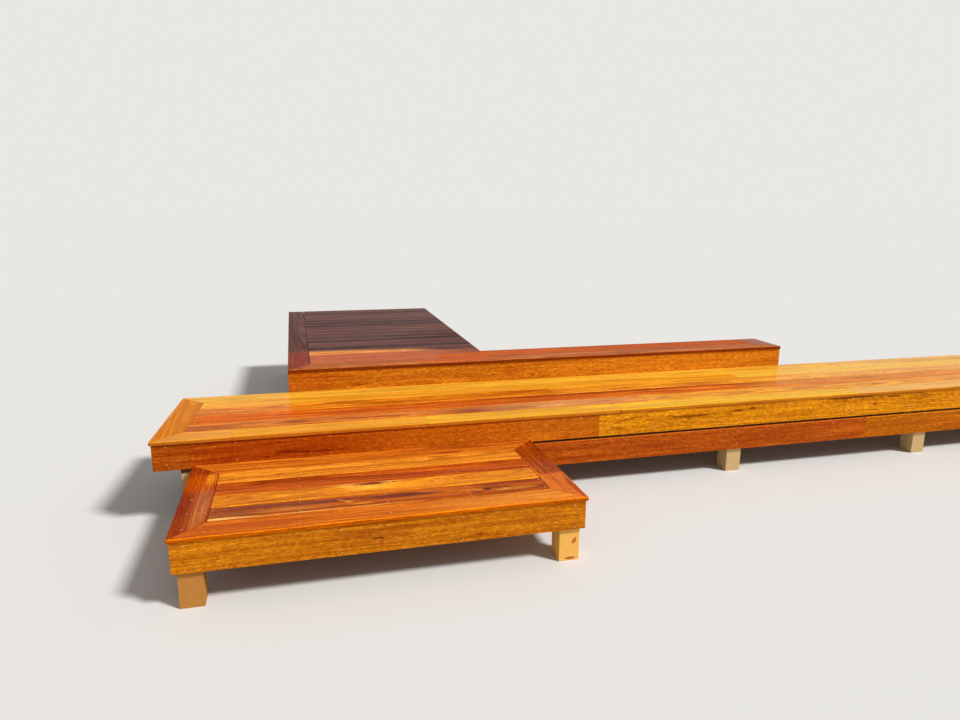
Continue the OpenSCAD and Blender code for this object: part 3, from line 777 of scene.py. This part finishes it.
# The fascias' outer faces, on the site
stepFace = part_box("step_fascia_front")[0].y - zero.y
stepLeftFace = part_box("step_fascia_left")[0].x - zero.x
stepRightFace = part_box("step_fascia_right")[1].x - zero.x
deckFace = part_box("deck_fascia_upper")[0].y - zero.y
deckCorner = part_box("deck_frame_left")[0] - zero

# The middle lines of the joists carry the boards' screws. The end ones are off that line, so that they hit
# both the joist and the board. Heights are above the ground.
stepScrews = dict(
    # The steel's pale warm colour is its sunlit copy: painted light
    colour="#D0A878",
    rows=("step_board_1", "step_board_2", "step_board_3", "step_board_4"),
    rowX=(0.304, 0.6748, 1.0605, 1.4463, 1.817),
    frameX=(0.289, 0.6748, 1.0605, 1.4463, 1.832),
    frameY=(-0.896, -0.966, -1.581, -1.651),
    sideX=(0.199, 0.272, 1.849, 1.922),
    sideY=(-0.985, -1.142, -1.299, -1.456, -1.613),
    fasciaX=(0.212, 0.842, 1.375, 1.908),
    fasciaY=(-0.93, -1.30, -1.64),
    fasciaZ=(0.179, 0.287),
)
look = stepScrews
spots = []
for node in look["rows"]:
    spots += crossings(look["rowX"], alongRow(middleOf(node)), [stepTop], up)
spots += crossings(look["frameX"], look["frameY"], [stepTop], up)
for y in look["sideY"]:
    spots += crossings(look["sideX"], [y], [stepTop], up)
spots += crossings(look["fasciaX"], [stepFace], look["fasciaZ"], front)
spots += crossings([stepLeftFace], look["fasciaY"], look["fasciaZ"], left)
spots += crossings([stepRightFace], look["fasciaY"], look["fasciaZ"], right)
driveScrews("step_screws", spots, look["colour"])

deckScrews = dict(
    # The same sunlit copy of the steel: painted light
    colour="#D0A878",
    rows=("deck_board_1", "deck_board_2", "deck_board_3", "deck_board_4"),
    joists=[0.366 + joistPitch * k for k in range(13)],
    rowEnds=(0.135, 6.320),
    backY=(-0.025, -0.115),
    frontY=(-0.737, -0.805),
    besideJoint=0.016,
    leftX=(0.026, 0.106),
    rightX=(6.354, 6.434),
    sideY=(-0.10, -0.28, -0.46, -0.64, -0.80),
    upperEnds=(0.027, 6.41),
    upperZ=(0.340, 0.430),
    lowerX=(2.585, 3.352, 4.064, 4.808, 5.595, 6.38),
    lowerZ=(0.188, 0.272),
)
look = deckScrews
firstEnd, lastEnd = look["rowEnds"]
rowLines = [y for node in look["rows"] for y in alongRow(middleOf(node))]
spots = crossings([firstEnd] + look["joists"] + [lastEnd], rowLines, [deckTop], up)
spots += crossings(look["joists"], look["backY"] + look["frontY"], [deckTop], up)
besideJoints = [x + side for x in frontJoints for side in (-look["besideJoint"], look["besideJoint"])]
spots += crossings(besideJoints, look["frontY"], [deckTop], up)
for y in look["sideY"]:
    skew = deckCorner.x * y / deckCorner.y  # the deck's left edge runs askew
    spots += crossings([x + skew for x in look["leftX"]], [y], [deckTop], up)
    spots += crossings(look["rightX"], [y], [deckTop], up)
firstEnd, lastEnd = look["upperEnds"]
spots += crossings([firstEnd] + look["joists"] + [lastEnd], [deckFace], look["upperZ"], front)
spots += crossings(look["lowerX"], [deckFace], look["lowerZ"], front)
driveScrews("deck_screws", spots, look["colour"])

landingScrews = dict(
    colour="#8C6850",         # darker: the shaded copy of the steel, painted shade
    rows=17,
    firstRow=0.204,
    deepX=(0.787, 1.1675, 1.563, 1.941),
    shallowX=(2.411, 2.841, 3.272, 3.702, 4.117),
    frameX=(0.838, 1.1675, 1.563, 1.9585, 2.411, 2.841, 3.272, 3.702, 4.132),
    frameY=(0.035, 0.105),
    sideX=(0.672, 0.742),
    sideY=[0.18 + 0.21 * k for k in range(12)],
    fasciaX=[0.692] + [0.838 + joistPitch * k for k in range(7)] + [4.21],
    fasciaZ=(0.480, 0.570),
)
look = landingScrews
spots = []
for row in range(look["rows"]):
    # Along the shallow part the second row is only a strip, without screws
    xs = look["deepX"] if row else look["deepX"] + look["shallowX"]
    spots += crossings(xs, alongRow(look["firstRow"] + boardPitch * row), [landingTop], up)
spots += crossings(look["frameX"], look["frameY"], [landingTop], up)
for y in look["sideY"]:
    spots += crossings(look["sideX"], [y], [landingTop], up)
spots += crossings(look["fasciaX"], [0.0], look["fasciaZ"], front)
driveScrews("landing_screws", spots, look["colour"])
print("screws driven")

# Plain pale floor, matt, so that the eye sees only the shadow on it
floorLook = dict(size=600.0, colour="#E2E0DC", roughness=0.9)
bpy.ops.object.select_all(action="DESELECT")
bpy.ops.mesh.primitive_plane_add(size=floorLook["size"])
floor = bpy.context.object
floor.name = "floor"
floorPaint, tree = newMaterial("pale floor paint")
shader = addNode(tree, "BsdfPrincipled", {"Base Color": toLinear(floorLook["colour"]),
                                          "Roughness": floorLook["roughness"], "Specular IOR Level": 0.0})[0]
addNode(tree, "OutputMaterial", {0: shader})
floor.data.materials.append(floorPaint)

# Soft studio light: a broad key from the right in front, and a pale room all round
light = dict(
    keyStrength=3.25,
    keySpread=math.radians(10),
    keyFrom=(0.65, -0.55, 0.85),
    room=0.34,                # how strongly the room lights the stair
    background="#E9E7E3",     # and what is seen of it
)
lamp = bpy.data.lights.new("key", "SUN")
lamp.energy = light["keyStrength"]
lamp.angle = light["keySpread"]
key = bpy.data.objects.new("key", lamp)
key.rotation_euler = Vector(light["keyFrom"]).to_track_quat("Z", "Y").to_euler()
scene.collection.objects.link(key)
world = bpy.data.worlds.new("room")
scene.world = world
world.use_nodes = True
tree = world.node_tree
tree.nodes.clear()
rays = addNode(tree, "LightPath")
seen = addNode(tree, "Math", {0: rays["Is Camera Ray"], 1: rays["Is Glossy Ray"]}, operation="MAXIMUM")[0]
seen = addNode(tree, "Math", {0: seen, 1: rays["Is Transmission Ray"]}, operation="MAXIMUM")[0]
lit = addNode(tree, "Background", {"Color": (1, 1, 1, 1), "Strength": light["room"]})[0]
shown = addNode(tree, "Background", {"Color": toLinear(light["background"]), "Strength": 1.0})[0]
mixed = addNode(tree, "MixShader", {0: seen, 1: lit, 2: shown})[0]
addNode(tree, "OutputWorld", {0: mixed})

# Camera as in the photograph, solved from the boards' edges: metres on the site, millimetres and degrees
view = dict(
    lens=26.348,
    sensor=36.0,
    place=(0.6953, -4.5161),
    aboveDeck=1.1699,
    pitch=12.297,             # looks down
    yaw=14.881,               # turned to the right
    roll=0.481,
    farthest=1000.0,
)
lens = bpy.data.cameras.new("camera")
lens.lens = view["lens"]
lens.sensor_width = view["sensor"]
lens.clip_end = view["farthest"]
camera = bpy.data.objects.new("camera", lens)
turn = (Matrix.Rotation(-math.radians(view["yaw"]), 4, "Z")
        @ Matrix.Rotation(math.radians(90 - view["pitch"]), 4, "X")
        @ Matrix.Rotation(math.radians(view["roll"]), 4, "Z"))
camera.matrix_world = Matrix.Translation(zero + Vector((*view["place"], deckTop + view["aboveDeck"]))) @ turn
scene.collection.objects.link(camera)
scene.camera = camera
scene.view_settings.view_transform = "Standard"
print("light and camera set")
